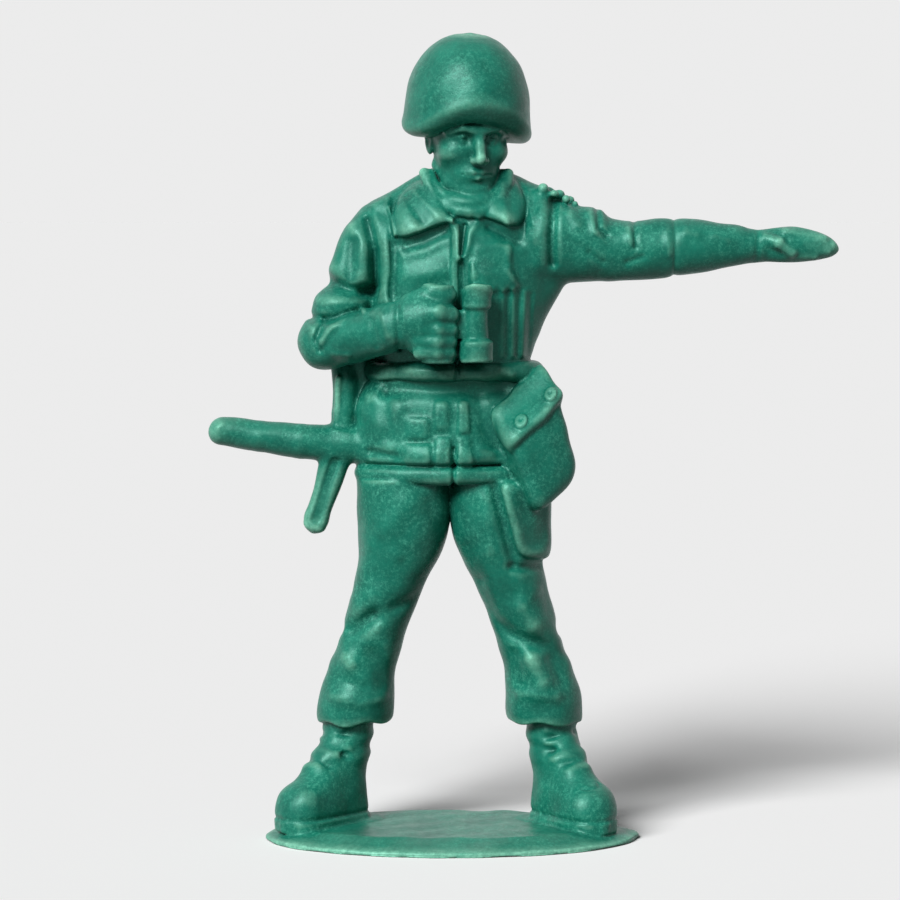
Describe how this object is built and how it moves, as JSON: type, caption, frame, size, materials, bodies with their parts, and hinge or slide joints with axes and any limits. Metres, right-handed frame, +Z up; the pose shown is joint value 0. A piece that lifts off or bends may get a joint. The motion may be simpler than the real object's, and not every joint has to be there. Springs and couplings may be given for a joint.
{
  "type": "toy soldier figure",
  "caption": "Moulded plastic soldier in a helmet, standing on an oval base, with one arm held out to point and binoculars held at the chest.",
  "frame": {"origin": "centre of the oval base's flat underside", "axes": "+Z up through the figure to the top of the helmet; the figure faces -Y; +X towards its pointing left hand"},
  "size_m": [0.0431, 0.015, 0.0553],
  "materials": {
    "moulding": "soft green polyethylene with a fine satin grain and pale scuffs on raised forms"
  },
  "bodies": {
    "root": {"base": "moulding", "right_boot": "moulding", "left_boot": "moulding", "right_trouser_leg": "moulding", "left_trouser_leg": "moulding", "thigh_pocket": "moulding", "jacket_hem": "moulding", "jacket_skirt": "moulding", "cartridge_pouches": "moulding", "hip_pocket": "moulding", "waist_belt": "moulding", "belt_buckle": "moulding", "jacket_blouse": "moulding", "front_placket": "moulding", "chest_pocket": "moulding", "webbing_strap": "moulding", "neckerchief": "moulding", "right_collar_wing": "moulding", "left_collar_wing": "moulding", "head": "moulding", "helmet": "moulding", "right_upper_sleeve": "moulding", "right_forearm_sleeve": "moulding", "right_fist": "moulding", "binoculars": "moulding", "left_upper_sleeve": "moulding", "left_forearm_sleeve": "moulding", "left_hand": "moulding", "map_case": "moulding", "map_case_flap": "moulding", "flap_studs": "moulding", "submachine_gun": "moulding", "gun_magazine": "moulding", "gun_sling": "moulding"}
  },
  "joints": []
}
